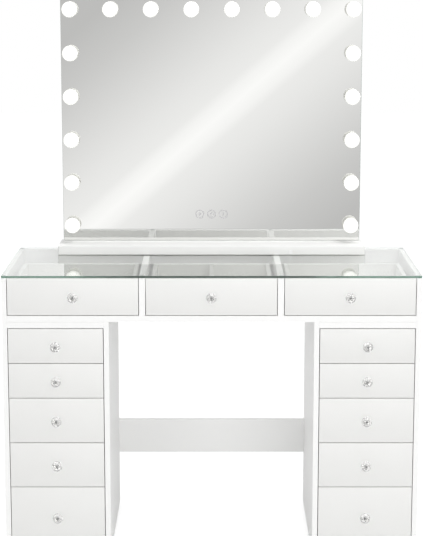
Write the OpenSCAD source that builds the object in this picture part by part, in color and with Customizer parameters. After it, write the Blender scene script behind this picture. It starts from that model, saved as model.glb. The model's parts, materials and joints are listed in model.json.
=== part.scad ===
// Lit styling station: a glass-topped table with three drawers on two five-drawer
// pedestals, and a frameless mirror with globe lamps on a low base.
// X is the width, Y runs from front to back and Z is up; the origin is on the floor
// at the centre of the station's box. Millimetres.

/* [Overall] */
// Width of the table, over both pedestals
table_w = 1200; // [1000:10:1440]
// Depth of the carcasses and the glass
table_d = 495; // [410:5:600]
// Width of one pedestal, over its side panels
ped_w = 306; // [260:2:370]

/* [Boards] */
// Thickness of the tops, bottoms, partitions, table back and cross panel
board_t = 18; // [15:0.5:22]
// Thickness of the upright side panels
side_t = 15; // [12:0.5:18]
// Thickness of the pedestal back panels
back_t = 5; // [3:0.5:8]
// Height of the cross panel between the pedestals
cross_h = 107; // [80:1:140]
// Height of the cross panel's lower edge above the floor
cross_z = 173; // [100:1:240]
// Diameter of a foot
foot_d = 32; // [24:1:40]
// Height of a foot
foot_h = 8; // [5:1:20]
// Distance of a foot's axis from the pedestal's outer faces
foot_inset = 38; // [30:1:60]

/* [Drawer fronts] */
// Thickness of a drawer front
front_t = 18; // [15:0.5:22]
// Gap around each drawer front
gap = 2; // [1.5:0.5:4]
// Height of a table drawer front
table_front_h = 106; // [88:1:140]
// Height of the two upper pedestal drawer fronts
small_front_h = 100.5; // [88:0.5:125]
// Height of the two middle pedestal drawer fronts
mid_front_h = 131; // [105:1:160]
// Height of the lowest pedestal drawer front
large_front_h = 178.5; // [145:0.5:215]

/* [Drawer boxes] */
// Thickness of a drawer box's sides and back
box_t = 12; // [10:0.5:15]
// Thickness of a drawer bottom
bottom_t = 5; // [3:0.5:8]
// Height of a drawer bottom above the lower edge of its sides
bottom_rise = 8; // [4:1:12]
// Height of a box's lower edge above its front's lower edge
box_lift = 6; // [4:0.5:10]
// Distance of a box's upper edge below its front's upper edge
box_drop = 22; // [16:1:26]
// Space kept free behind the table drawers, for the mirror's base and leads
table_back_room = 145; // [100:5:180]
// Space kept free behind the pedestal drawers
ped_back_room = 45; // [30:1:60]

/* [Runners] */
// Space between a box side and the carcass, filled by the runner
runner_w = 13; // [12.5:0.5:16]
// Height of the carcass member of a runner
runner_h = 45; // [35:1:46]
// Thickness of the runner's steel
runner_t = 1.3; // [1:0.1:1.6]
// Running gap between the runner's two members
race_gap = 0.8; // [0.5:0.1:0.9]
// Height of a runner's lower edge above the lower edge of its box
runner_rise = 8; // [6:1:12]
// Distance that a runner stays back from the drawer front and the box's end
runner_back = 2; // [1:0.5:5]

/* [Knobs] */
// Diameter of a crystal knob
knob_d = 30; // [24:1:38]
// Distance that a knob stands out of its front
knob_l = 28; // [24:1:36]
// Diameter of the rosette under a knob
rosette_d = 14; // [10:1:18]
// Thickness of the rosette
rosette_t = 3; // [2:0.5:4]
// Diameter of the knob's screw
knob_screw_d = 4; // [3:0.5:5]
// Depth of the screw in the crystal
knob_screw_in = 11; // [8:0.5:14]

/* [Glass] */
// Thickness of the glass top
glass_t = 6; // [5:0.5:10]
// Thickness of the clear pads under the glass and under the mirror's base
pad_t = 1.5; // [1:0.5:3]
// Diameter of a pad
pad_d = 12; // [8:1:14]

/* [Mirror] */
// Width of the mirror
mirror_w = 915; // [765:5:1100]
// Height of the mirror
mirror_h = 741; // [620:1:890]
// Thickness of the mirror's glass
mirror_t = 4; // [3:0.5:6]
// Depth of the frame behind the glass
frame_d = 30; // [26:1:40]
// Width of the frame's rim
frame_rim = 12; // [9:0.5:13]
// Distance that the frame stays inside the glass's edge
frame_inset = 1.5; // [1:0.5:3]
// Thickness of the back cover and the base's bottom plate
cover_t = 3; // [2.5:0.5:4]

/* [Mirror base] */
// Width of the mirror's base
base_w = 937; // [790:1:1125]
// Depth of the mirror's base
base_d = 130; // [110:1:155]
// Height of the mirror's base
base_h = 26.5; // [24:0.5:32]
// Wall thickness of the base
base_wall = 3; // [2:0.5:4]
// Distance of the base's back from the back edge of the glass
base_inset = 11.5; // [5:0.5:20]
// Distance of the mirror's glass from the base's front
mirror_setback = 85; // [70:1:90]

/* [Lamps] */
// Lamps along the top edge, corners included
lamps_across = 8; // [5:1:9]
// Lamps down each side edge, corners included
lamps_down = 6; // [4:1:7]
// Diameter of a globe
bulb_d = 47.5; // [40:0.5:57]
// Distance of the outer lamps' axes from the top and side edges
lamp_inset = 29.5; // [28:0.5:36]
// Height of the lowest lamps above the mirror's lower edge
lamp_low = 54.5; // [45:0.5:66]
// Gap between a globe and its lampholder's flange
bulb_gap = 0.75; // [0.5:0.25:2]
// Diameter of a bulb's neck
neck_d = 22; // [18:0.5:26]
// Depth of the neck inside the lampholder
neck_in = 18; // [14:0.5:20]

/* [Controls] */
// Diameter of a touch sensor
touch_d = 27; // [20:1:32]
// Thickness of a touch sensor
touch_t = 3; // [1.5:0.5:5]
// Distance between the touch sensors' centres
touch_pitch = 36.2; // [34:0.2:45]
// Height of the touch sensors above the mirror's lower edge
touch_z = 86; // [60:1:110]
// Distance of the charging port from the centre
port_x = 242; // [120:1:300]
// Width of the charging port's bezel
port_w = 9.5; // [8:0.5:12]
// Height of the charging port's bezel
port_h = 13.5; // [12:0.5:16]
// Distance of the power inlet from the centre
inlet_x = 320; // [250:1:360]
// Diameter of the power inlet's body
inlet_d = 11; // [9:0.5:13]
// Width of the lamp driver inside the base
driver_w = 150; // [100:5:200]
// Depth of the lamp driver
driver_d = 60; // [40:5:70]
// Height of the lamp driver
driver_h = 16; // [10:1:18]

/* [Hidden] */
$fn = 64;
cut = 1;                 // overrun of a cutting shape
lip = 1.5;               // thickness of flanges and bezels
fit = 0.3;               // clearance of a piece set into another
seam = 0.2;              // glue line between boards of one node, which keeps them separate solids
screw_d = 3.5;           // countersunk cover screws
screw_head_d = 7;
screw_head_h = 2.2;
screw_l = 14;
bolt_d = 6;              // bolts that join the table to the pedestals
bolt_head_d = 12;
bolt_head_h = 3;
nut_h = 5;
bolt_inset = 60;
cross_screw_d = 5;       // screws through the pedestals into the cross panel
cross_screw_l = 45;
cross_head_d = 8;
cross_head_h = 1.5;
post_d = 9;              // screw posts inside the base
post_inset = 14;

front_y = -(table_d + knob_l) / 2 + knob_l;
back_y = front_y + table_d;
half_w = table_w / 2;

ped_floor = foot_h + board_t;
ped_front_h = [small_front_h, small_front_h, mid_front_h, mid_front_h, large_front_h];
last = len(ped_front_h) - 1;
function ped_front_z(i) =
    i == last ? ped_floor + gap : ped_front_z(i + 1) + ped_front_h[i + 1] + gap;
ped_top = ped_front_z(0) + ped_front_h[0] + gap + board_t;
ped_bay_w = ped_w - 2 * side_t;
ped_x = [-half_w, half_w - ped_w];

table_floor = ped_top + board_t;
table_front_z = table_floor + gap;
glass_z = table_front_z + table_front_h + gap;
table_top = glass_z - pad_t;
deck_z = glass_z + glass_t;
table_bay_w = (table_w - 2 * side_t - 2 * board_t) / 3;
table_bay_x = [for (i = [0:2]) -half_w + side_t + i * (table_bay_w + board_t)];

runner_lip = runner_w - 2 * runner_t;
table_box_l = table_d - table_back_room;
ped_box_l = table_d - ped_back_room;

base_z = deck_z + pad_t;
base_y = back_y - base_inset - base_d;
mirror_z = base_z + base_h;
mirror_y = base_y + mirror_setback;
mirror_back = mirror_y + mirror_t;
cover_y = mirror_back + frame_d;
lamp_dx = (mirror_w - 2 * lamp_inset) / (lamps_across - 1);
lamp_dz = (mirror_h - lamp_inset - lamp_low) / (lamps_down - 1);
holder_r = neck_d / 2 + fit;
holder_d = neck_d + 2 * fit + 4;
lamps = concat(
    [for (i = [0:lamps_across - 1]) [-mirror_w / 2 + lamp_inset + i * lamp_dx,
                                     mirror_z + mirror_h - lamp_inset]],
    [for (s = [-1, 1], i = [0:lamps_down - 2]) [s * (mirror_w / 2 - lamp_inset),
                                                mirror_z + lamp_low + i * lamp_dz]]);

port_z = base_z + 1.25 + port_h / 2;
inlet_z = base_z + base_h / 2;
cover_points = [for (x = [-1:0.5:1], z = [0, 1])
    [x * (mirror_w / 2 - frame_inset - frame_rim / 2),
     mirror_z + (z == 0 ? frame_inset + frame_rim / 2
                        : mirror_h - frame_inset - frame_rim / 2)]];
post_points = [for (x = [-1, 0, 1], y = [0, 1])
    [x * (base_w / 2 - post_inset), base_y + (y == 0 ? post_inset : base_d - post_inset)]];
stand_points = [for (x = [-0.75, -0.25, 0.25, 0.75]) x * mirror_w / 2];
bolt_points = [for (p = ped_x, x = [bolt_inset, ped_w - bolt_inset],
                    y = [bolt_inset, table_d - bolt_inset]) [p + x, front_y + y]];
cross_screw_y = back_y - back_t - cross_head_d / 2 - fit;
cross_screw_z = [cross_z + cross_h / 4, cross_z + cross_h * 3 / 4];

// A drawer is its name, left face of its bay, bay width, front's lower edge,
// front height, box length and number of compartments.
DRAWERS = concat(
    [for (i = [0:2]) [str("table_", ["left", "middle", "right"][i]), table_bay_x[i],
                      table_bay_w, table_front_z, table_front_h, table_box_l, i == 1 ? 2 : 1]],
    [for (s = [0, 1], i = [0:last]) [str(["left", "right"][s], "_", i + 1), ped_x[s] + side_t,
                                     ped_bay_w, ped_front_z(i), ped_front_h[i], ped_box_l, 1]]);
function bay_x(d) = d[1];
function bay_w(d) = d[2];
function front_z(d) = d[3];
function front_h(d) = d[4];
function box_l(d) = d[5];
function bins(d) = d[6];
function box_z(d) = front_z(d) + box_lift;
function box_h(d) = front_h(d) - box_lift - box_drop;

// ---- shapes used more than once

module board(from, to) translate(from) cube(to - from);

// A rod along -Y from a point, so its far end comes towards the front.
module rod_y(at, d, l) translate(at) rotate([90, 0, 0]) cylinder(d = d, h = l);

// A countersunk screw along +Z, its flat head at the origin.
module cover_screw() {
    cylinder(d1 = screw_head_d, d2 = screw_d, h = screw_head_h);
    cylinder(d = screw_d, h = screw_l);
}

// The hole for that screw: countersunk in the cover, then a pilot in what it holds.
module cover_screw_hole() {
    translate([0, 0, -cut]) cylinder(d = screw_d + 2 * fit, h = screw_l + fit + cut);
    cylinder(d1 = screw_head_d + 2 * fit, d2 = screw_d, h = screw_head_h + 2 * fit);
}

// A C-shaped runner member along Y, its web on the plane x = 0, open towards +X.
module channel(h, w, l) translate([0, l, 0]) rotate([90, 0, 0]) linear_extrude(l) difference() {
    square([w, h]);
    translate([runner_t, runner_t]) square([w, h - 2 * runner_t]);
}

// ---- carcass

module glass_top() color([0.72, 0.88, 0.82, 0.35])
    board([-half_w, front_y, glass_z], [half_w, back_y, deck_z]);

module clear_pads() color([0.85, 0.88, 0.88, 0.6]) {
    pad_y = [front_y + pad_d, back_y - board_t / 2];
    upright_x = [half_w - side_t / 2, table_bay_w / 2 + board_t / 2];
    for (x = upright_x, s = [-1, 1], y = pad_y)
        translate([s * x, y, table_top]) cylinder(d = pad_d, h = pad_t);
    for (x = [-1, -0.33, 0.33, 1], y = [pad_d * 2.5, base_d - pad_d * 2.5])
        translate([x * (base_w / 2 - pad_d * 2.5), base_y + y, deck_z]) cylinder(d = pad_d, h = pad_t);
}

module table_uprights() color("white") {
    for (x = [-half_w, half_w - side_t])
        board([x, front_y, ped_top], [x + side_t, back_y, table_top]);
    for (i = [1, 2])
        board([table_bay_x[i] - board_t, front_y, table_floor],
              [table_bay_x[i], back_y - board_t, table_top]);
}

module carcass_shelves() color("white") difference() {
    union() {
        board([-half_w + side_t, front_y, ped_top], [half_w - side_t, back_y, table_floor]);
        for (x = ped_x, z = [foot_h, ped_top - board_t])
            board([x + side_t, front_y, z], [x + ped_w - side_t, back_y, z + board_t - seam]);
    }
    for (p = bolt_points)
        translate([p[0], p[1], ped_top - board_t - cut])
            cylinder(d = bolt_d + 2 * fit, h = 2 * board_t + 2 * cut);
}

module back_panels() color("white") {
    board([-half_w + side_t, back_y - board_t, table_floor], [half_w - side_t, back_y, table_top]);
    for (x = ped_x)
        board([x + side_t, back_y - back_t, ped_floor],
              [x + ped_w - side_t, back_y, ped_top - board_t]);
}

module pedestal_side_panels() color("white") for (x = ped_x, s = [0, ped_w - side_t]) {
    inner = (x < 0) == (s > 0);
    difference() {
        board([x + s, front_y, foot_h], [x + s + side_t, back_y, ped_top]);
        if (inner) for (z = cross_screw_z)
            translate([x + s - cut, cross_screw_y, z]) rotate([0, 90, 0])
                cylinder(d = cross_screw_d + 2 * fit, h = side_t + 2 * cut);
    }
}

module cross_panel() color("white") {
    cross_w = table_w - 2 * ped_w;
    pilot = cross_screw_l - side_t + fit;
    difference() {
        board([-cross_w / 2, back_y - board_t, cross_z], [cross_w / 2, back_y, cross_z + cross_h]);
        for (s = [-1, 1], z = cross_screw_z)
            translate([s * (cross_w / 2 - pilot), cross_screw_y, z]) rotate([0, s * 90, 0])
                cylinder(d = cross_screw_d + fit, h = pilot + cut);
    }
}

module feet() color("gainsboro")
    for (p = ped_x, x = [foot_inset, ped_w - foot_inset], y = [foot_inset, table_d - foot_inset])
        translate([p + x, front_y + y, 0]) cylinder(d = foot_d, h = foot_h);

module cabinet_runners() color("silver") for (d = DRAWERS) {
    l = box_l(d) - front_t - 2 * runner_back;
    at = [bay_x(d), front_y + front_t + runner_back, box_z(d) + runner_rise];
    translate(at) channel(runner_h, runner_lip, l);
    translate(at + [bay_w(d), 0, 0]) mirror([1, 0, 0]) channel(runner_h, runner_lip, l);
}

module fasteners() color("silver") {
    for (p = cover_points)
        translate([p[0], cover_y + cover_t, p[1]]) rotate([90, 0, 0]) cover_screw();
    for (p = post_points)
        translate([p[0], p[1], base_z]) cover_screw();
    for (x = stand_points)
        translate([x, mirror_back + frame_rim, mirror_z - base_wall]) cover_screw();
    for (p = bolt_points) translate([p[0], p[1], 0]) {
        translate([0, 0, table_floor]) cylinder(d = bolt_head_d, h = bolt_head_h);
        translate([0, 0, ped_top - board_t - nut_h]) {
            cylinder(d = bolt_d, h = 2 * board_t + nut_h);
            difference() {
                cylinder(d = bolt_head_d, h = nut_h, $fn = 6);
                translate([0, 0, -cut]) cylinder(d = bolt_d + fit, h = nut_h + 2 * cut);
            }
        }
    }
    for (s = [-1, 1], z = cross_screw_z)
        translate([s * (half_w - ped_w + side_t), cross_screw_y, z]) rotate([0, -s * 90, 0]) {
            cylinder(d = cross_screw_d, h = cross_screw_l);
            translate([0, 0, -cross_head_h]) cylinder(d = cross_head_d, h = cross_head_h);
        }
}

// ---- drawers

module drawer_front(d) color("white") difference() {
    board([bay_x(d) + gap, front_y, front_z(d)],
          [bay_x(d) + bay_w(d) - gap, front_y + front_t, front_z(d) + front_h(d)]);
    rod_y([bay_x(d) + bay_w(d) / 2, front_y + front_t + cut, front_z(d) + front_h(d) / 2],
          knob_screw_d + 2 * fit, front_t + 2 * cut);
}

module drawer_box(d) {
    x0 = bay_x(d) + runner_w;
    x1 = bay_x(d) + bay_w(d) - runner_w;
    y0 = front_y + front_t;
    y1 = front_y + box_l(d);
    z0 = box_z(d);
    z1 = z0 + box_h(d);
    in0 = x0 + box_t + seam;
    in1 = x1 - box_t - seam;
    floor_z = z0 + bottom_rise + bottom_t;
    color("white") {
        board([x0, y0, z0], [x0 + box_t, y1, z1]);
        board([x1 - box_t, y0, z0], [x1, y1, z1]);
        board([in0, y1 - box_t, z0], [in1, y1, z1]);
        board([in0, y0, floor_z - bottom_t], [in1, y1 - box_t - seam, floor_z]);
        if (bins(d) > 1) for (i = [1:bins(d) - 1]) {
            x = x0 + i * (x1 - x0) / bins(d) - box_t / 2;
            board([x, y0 + knob_screw_d / 2 + fit, floor_z + seam],
                  [x + box_t, y1 - box_t - seam, z1]);
        }
    }
    inner_h = runner_h - 2 * (runner_t + race_gap);
    l = box_l(d) - front_t - 2 * runner_back;
    z = z0 + runner_rise + runner_t + race_gap;
    color("silver") {
        translate([x0 - seam, y0 + runner_back, z]) mirror([1, 0, 0]) channel(inner_h, runner_lip, l);
        translate([x1 + seam, y0 + runner_back, z]) channel(inner_h, runner_lip, l);
    }
}

module drawer_knob(d) {
    waist_l = (knob_l - rosette_t) / 2;
    translate([bay_x(d) + bay_w(d) / 2, front_y, front_z(d) + front_h(d) / 2]) rotate([90, 0, 0]) {
        color("silver") difference() {
            cylinder(d = rosette_d, h = rosette_t - seam);
            translate([0, 0, -cut]) cylinder(d = knob_screw_d + 2 * fit, h = rosette_t + 2 * cut);
        }
        color([0.85, 0.9, 0.92, 0.5]) translate([0, 0, rosette_t]) difference() {
            rotate_extrude() polygon([[0, 0], [rosette_d / 2 - 1, 0], [knob_d / 2, waist_l],
                [knob_d / 2 - 1.5, knob_l - rosette_t - 5], [knob_d / 4, knob_l - rosette_t],
                [0, knob_l - rosette_t]]);
            translate([0, 0, -cut]) cylinder(d = knob_screw_d + fit, h = knob_screw_in + fit + cut);
        }
        color("dimgray") translate([0, 0, -front_t]) {
            cylinder(d = knob_screw_d, h = front_t + rosette_t + knob_screw_in);
            translate([0, 0, -knob_screw_d / 2]) cylinder(d = knob_screw_d * 2, h = knob_screw_d / 2);
        }
    }
}

// ---- mirror and its base

module mirror_base() color("white") difference() {
    union() {
        difference() {
            board([-base_w / 2, base_y, base_z], [base_w / 2, base_y + base_d, mirror_z]);
            board([-base_w / 2 + base_wall, base_y + base_wall, base_z - cut],
                  [base_w / 2 - base_wall, base_y + base_d - base_wall, mirror_z - base_wall]);
        }
        for (p = post_points)
            translate([p[0], p[1], base_z + cover_t]) cylinder(d = post_d, h = base_h - cover_t - cut);
    }
    for (p = post_points)
        translate([p[0], p[1], base_z]) cover_screw_hole();
    for (x = stand_points)
        translate([x, mirror_back + frame_rim, mirror_z - base_wall]) cover_screw_hole();
    board([port_x - port_w / 2 + lip, base_y - cut, port_z - port_h / 2 + lip],
          [port_x + port_w / 2 - lip, base_y + base_wall + cut, port_z + port_h / 2 - lip]);
    rod_y([inlet_x, base_y + base_d + cut, inlet_z], inlet_d + 2 * fit, base_wall + 2 * cut);
}

module base_plate() color("whitesmoke") difference() {
    inner = base_wall + fit;
    board([-base_w / 2 + inner, base_y + inner, base_z],
          [base_w / 2 - inner, base_y + base_d - inner, base_z + cover_t]);
    for (p = post_points) translate([p[0], p[1], base_z]) cover_screw_hole();
}

module lamp_driver() color("gainsboro")
    translate([-driver_w / 2, base_y + (base_d - driver_d) / 2, base_z + cover_t])
        cube([driver_w, driver_d, driver_h]);

module mirror_frame() color("silver") difference() {
    board([-mirror_w / 2 + frame_inset, mirror_back, mirror_z],
          [mirror_w / 2 - frame_inset, cover_y, mirror_z + mirror_h - frame_inset]);
    board([-mirror_w / 2 + frame_inset + frame_rim, mirror_back - cut, mirror_z + frame_inset + frame_rim],
          [mirror_w / 2 - frame_inset - frame_rim, cover_y + cut,
           mirror_z + mirror_h - frame_inset - frame_rim]);
    for (p = cover_points)
        translate([p[0], cover_y + cover_t, p[1]]) rotate([90, 0, 0]) cover_screw_hole();
    for (x = stand_points)
        translate([x, mirror_back + frame_rim, mirror_z - base_wall]) cover_screw_hole();
}

module mirror_back_cover() color("white") difference() {
    board([-mirror_w / 2 + frame_inset, cover_y, mirror_z],
          [mirror_w / 2 - frame_inset, cover_y + cover_t, mirror_z + mirror_h - frame_inset]);
    for (p = cover_points)
        translate([p[0], cover_y + cover_t, p[1]]) rotate([90, 0, 0]) cover_screw_hole();
}

module mirror_glass() color([0.78, 0.8, 0.82]) difference() {
    board([-mirror_w / 2, mirror_y, mirror_z], [mirror_w / 2, mirror_back, mirror_z + mirror_h]);
    for (p = lamps)
        rod_y([p[0], mirror_back + cut, p[1]], holder_d + 2 * fit, mirror_t + 2 * cut);
}

module lamp_holders() color("white") for (p = lamps)
    translate([p[0], mirror_y, p[1]]) rotate([-90, 0, 0]) difference() {
        union() {
            translate([0, 0, -lip]) cylinder(d = holder_d + 6, h = lip);
            cylinder(d = holder_d, h = neck_in + 2);
        }
        translate([0, 0, -lip - cut]) cylinder(r = holder_r, h = neck_in + lip + cut);
    }

module bulbs() color([1, 0.99, 0.96]) for (p = lamps)
    translate([p[0], mirror_y, p[1]]) rotate([90, 0, 0]) {
        translate([0, 0, lip + bulb_gap + bulb_d / 2]) sphere(d = bulb_d);
        translate([0, 0, -neck_in]) cylinder(d = neck_d, h = neck_in + lip + bulb_gap + bulb_d / 4);
    }

module touch_sensors() color("darkgray") for (i = [-1, 0, 1])
    rod_y([i * touch_pitch, mirror_back + touch_t, mirror_z + touch_z], touch_d, touch_t);

module charging_port() color("white") difference() {
    body_l = 14;
    slot_w = port_w - 4.3;
    slot_h = port_h - 2;
    tongue_t = 1.8;
    union() {
        board([port_x - port_w / 2, base_y - lip / 2, port_z - port_h / 2],
              [port_x + port_w / 2, base_y, port_z + port_h / 2]);
        board([port_x - port_w / 2 + lip + fit, base_y - lip / 2, port_z - port_h / 2 + lip + fit],
              [port_x + port_w / 2 - lip - fit, base_y + body_l, port_z + port_h / 2 - lip - fit]);
    }
    difference() {
        board([port_x - slot_w / 2, base_y - lip, port_z - slot_h / 2 + 2],
              [port_x + slot_w / 2, base_y + body_l - 3, port_z + slot_h / 2 - 2]);
        board([port_x - tongue_t / 2, base_y + lip, port_z - slot_h / 2],
              [port_x + tongue_t / 2, base_y + body_l, port_z + slot_h / 2]);
    }
}

module power_inlet() color("dimgray") {
    face_y = base_y + base_d;
    difference() {
        union() {
            rod_y([inlet_x, face_y + lip, inlet_z], inlet_d + 4, lip);
            rod_y([inlet_x, face_y + lip, inlet_z], inlet_d, 14);
        }
        rod_y([inlet_x, face_y + lip + cut, inlet_z], inlet_d - 4.7, 10 + cut);
    }
    rod_y([inlet_x, face_y, inlet_z], 2, 10);
}

glass_top();
clear_pads();
table_uprights();
carcass_shelves();
back_panels();
pedestal_side_panels();
cross_panel();
cabinet_runners();
feet();
fasteners();
mirror_base();
base_plate();
lamp_driver();
mirror_frame();
mirror_back_cover();
mirror_glass();
lamp_holders();
bulbs();
touch_sensors();
charging_port();
power_inlet();
for (d = DRAWERS) {
    drawer_front(d);
    drawer_box(d);
    drawer_knob(d);
}
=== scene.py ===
import json
from math import cos, pi, radians
import bmesh
import bpy
from mathutils import Matrix, Vector


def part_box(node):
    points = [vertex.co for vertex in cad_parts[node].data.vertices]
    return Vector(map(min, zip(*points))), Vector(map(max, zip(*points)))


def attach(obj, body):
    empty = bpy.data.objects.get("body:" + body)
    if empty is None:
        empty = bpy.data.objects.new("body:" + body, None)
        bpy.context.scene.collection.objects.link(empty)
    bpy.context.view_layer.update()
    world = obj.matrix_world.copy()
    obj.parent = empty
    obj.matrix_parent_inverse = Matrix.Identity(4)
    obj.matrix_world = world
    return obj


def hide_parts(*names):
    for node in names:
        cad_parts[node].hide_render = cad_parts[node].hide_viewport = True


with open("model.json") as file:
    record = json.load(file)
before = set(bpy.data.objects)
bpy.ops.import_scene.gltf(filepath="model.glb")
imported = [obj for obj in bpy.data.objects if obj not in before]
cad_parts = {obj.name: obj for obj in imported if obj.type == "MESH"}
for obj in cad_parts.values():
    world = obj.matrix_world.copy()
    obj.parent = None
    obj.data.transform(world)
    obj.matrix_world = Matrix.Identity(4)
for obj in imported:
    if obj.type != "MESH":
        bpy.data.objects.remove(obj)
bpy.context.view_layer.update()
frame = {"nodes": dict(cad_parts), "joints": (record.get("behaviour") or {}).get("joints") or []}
nodes = frame["nodes"]
scene = bpy.context.scene
scene.view_settings.view_transform = "Standard"
mm = 0.001
drawers = [joint["child"].replace("_drawer", "") for joint in frame["joints"]]
print("frame loaded:", len(nodes), "nodes,", len(drawers), "drawers")


# the camera stands in front of the middle of the table and looks a little down
cameraView = {"lens": 112.39, "pitchDown": 10.124, "distance": 4.6802, "aboveGlass": 0.8588}


def makeCamera():
    glassLow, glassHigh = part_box("glass_top")
    camera = bpy.data.objects.new("camera", bpy.data.cameras.new("camera"))
    scene.collection.objects.link(camera)
    camera.data.lens = cameraView["lens"]
    camera.location = (0, glassLow.y - cameraView["distance"], glassHigh.z + cameraView["aboveGlass"])
    camera.rotation_euler = (radians(90 - cameraView["pitchDown"]), 0, 0)
    scene.camera = camera


makeCamera()


# small helpers for modelling
def makeActive(*pieces):
    bpy.ops.object.select_all(action="DESELECT")
    for piece in pieces:
        piece.select_set(True)
    bpy.context.view_layer.objects.active = pieces[0]


def named(piece, name):
    piece.name = piece.data.name = name
    return piece


def editMode(piece):
    makeActive(piece)
    bpy.ops.object.mode_set(mode="EDIT")


def objectMode():
    bpy.ops.object.mode_set(mode="OBJECT")


# in edit mode, select the faces, edges or corners that pass a test
def pick(kind, test):
    bpy.ops.mesh.select_mode(type=kind)
    bpy.ops.mesh.select_all(action="DESELECT")
    mesh = bmesh.from_edit_mesh(bpy.context.object.data)
    for item in {"FACE": mesh.faces, "EDGE": mesh.edges, "VERT": mesh.verts}[kind]:
        item.select_set(test(item))
    mesh.select_flush_mode()
    bmesh.update_edit_mesh(bpy.context.object.data)


# a test for edges that run along one axis
def runsAlong(axis):
    return lambda edge: abs((edge.verts[0].co - edge.verts[1].co).normalized()[axis]) > 0.9


def extrudeBack(distance):
    bpy.ops.mesh.extrude_region_move(TRANSFORM_OT_translate={"value": (0, distance, 0)})


def faceOutwards():
    bpy.ops.mesh.select_all(action="SELECT")
    bpy.ops.mesh.normals_make_consistent(inside=False)


def paintPicked(slotIndex):
    bpy.context.object.active_material_index = slotIndex
    bpy.ops.object.material_slot_assign()


def applyModifier(piece, kind, **settings):
    makeActive(piece)
    modifier = piece.modifiers.new(kind.lower(), kind)
    for key, value in settings.items():
        setattr(modifier, key, value)
    bpy.ops.object.modifier_apply(modifier=modifier.name)


def smoothBelow(piece, angle):
    makeActive(piece)
    bpy.ops.object.shade_smooth_by_angle(angle=radians(angle))
    return piece


# round every sharp edge and keep the flat faces looking flat
def softenEdges(piece, width, segments=2, angle=40, rimSlot=-1):
    makeActive(piece)
    bpy.ops.object.shade_smooth()
    applyModifier(piece, "BEVEL", width=width, segments=segments, limit_method="ANGLE",
                  angle_limit=radians(angle), use_clamp_overlap=False,
                  harden_normals=True, material=rimSlot)
    return piece


def addBlock(name, low, high):
    low, high = Vector(low), Vector(high)
    bpy.ops.object.select_all(action="DESELECT")
    bpy.ops.mesh.primitive_cube_add(size=1, location=(low + high) / 2, scale=high - low)
    bpy.ops.object.transform_apply()
    return named(bpy.context.object, name)


# a round bar along Y
def addRod(name, centre, radius, length, sides=48):
    bpy.ops.object.select_all(action="DESELECT")
    bpy.ops.mesh.primitive_cylinder_add(vertices=sides, radius=radius, depth=length,
                                        location=centre, rotation=(radians(90), 0, 0))
    bpy.ops.object.transform_apply()
    return named(bpy.context.object, name)


def cutAway(piece, *cutters):
    for cutter in cutters:
        applyModifier(piece, "BOOLEAN", operation="DIFFERENCE", object=cutter, solver="EXACT")
    for cutter in cutters:
        bpy.data.objects.remove(cutter)
    return piece


def joined(name, pieces):
    makeActive(*pieces)
    bpy.ops.object.join()
    return named(bpy.context.object, name)


# a copy with a mesh of its own, set down somewhere else
def copyTo(piece, name, offset):
    twin = bpy.data.objects.new(name, piece.data.copy())
    scene.collection.objects.link(twin)
    twin.data.transform(Matrix.Translation(offset))
    return named(twin, name)


# a merged copy of a CAD node, ready to be shaped; angles in degrees
copyLook = {"mergeWithin": 0.01 * mm, "flatWithin": 0.5}


def copyNode(node, name):
    piece = bpy.data.objects.new(name, nodes[node].data.copy())
    scene.collection.objects.link(piece)
    named(piece, name)
    piece.data.materials.clear()
    makeActive(piece)
    bpy.ops.mesh.customdata_custom_splitnormals_clear()
    editMode(piece)
    bpy.ops.mesh.select_all(action="SELECT")
    bpy.ops.mesh.remove_doubles(threshold=copyLook["mergeWithin"])
    bpy.ops.mesh.dissolve_limited(angle_limit=radians(copyLook["flatWithin"]))
    bpy.ops.mesh.normals_make_consistent(inside=False)
    objectMode()
    return piece


def solidsOf(node):
    makeActive(copyNode(node, node + "_solid"))
    bpy.ops.mesh.separate(type="LOOSE")
    return list(bpy.context.selected_objects)


def boxOf(piece):
    corners = [v.co for v in piece.data.vertices]
    low = Vector([min(c[i] for c in corners) for i in range(3)])
    high = Vector([max(c[i] for c in corners) for i in range(3)])
    return low, high


# the middle of a box as seen from the front
def middleOf(low, high):
    return (low.x + high.x) / 2, (low.z + high.z) / 2


def remove(pieces):
    for piece in pieces:
        bpy.data.objects.remove(piece)


# the boxes of a node's separate solids, from below and from the left
def placesOf(node):
    solids = solidsOf(node)
    boxes = [boxOf(piece) for piece in solids]
    remove(solids)
    return sorted(boxes, key=lambda box: tuple(round(box[0][i], 4) for i in (2, 0, 1)))


# put a piece on its body, in place of a CAD node, with its material slot
def seat(piece, body, node, slotName, *mats):
    for mat in mats:
        piece.data.materials.append(mat)
    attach(piece, body)
    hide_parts(node)
    return piece


# materials: colours are sRGB hex values
def hexColor(code):
    parts = [int(code[i:i + 2], 16) / 255 for i in (1, 3, 5)]
    return [p / 12.92 if p <= 0.04045 else ((p + 0.055) / 1.055) ** 2.4 for p in parts] + [1]


def newMaterial(name):
    mat = bpy.data.materials.new(name)
    mat.use_nodes = True
    mat.node_tree.nodes.clear()
    return mat


def addNode(mat, kind, inputs=None, **settings):
    node = mat.node_tree.nodes.new(kind)
    for key, value in settings.items():
        setattr(node, key, value)
    for socket, value in (inputs or {}).items():
        if isinstance(value, bpy.types.NodeSocket):
            mat.node_tree.links.new(value, node.inputs[socket])
        else:
            node.inputs[socket].default_value = value
    return node


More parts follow.
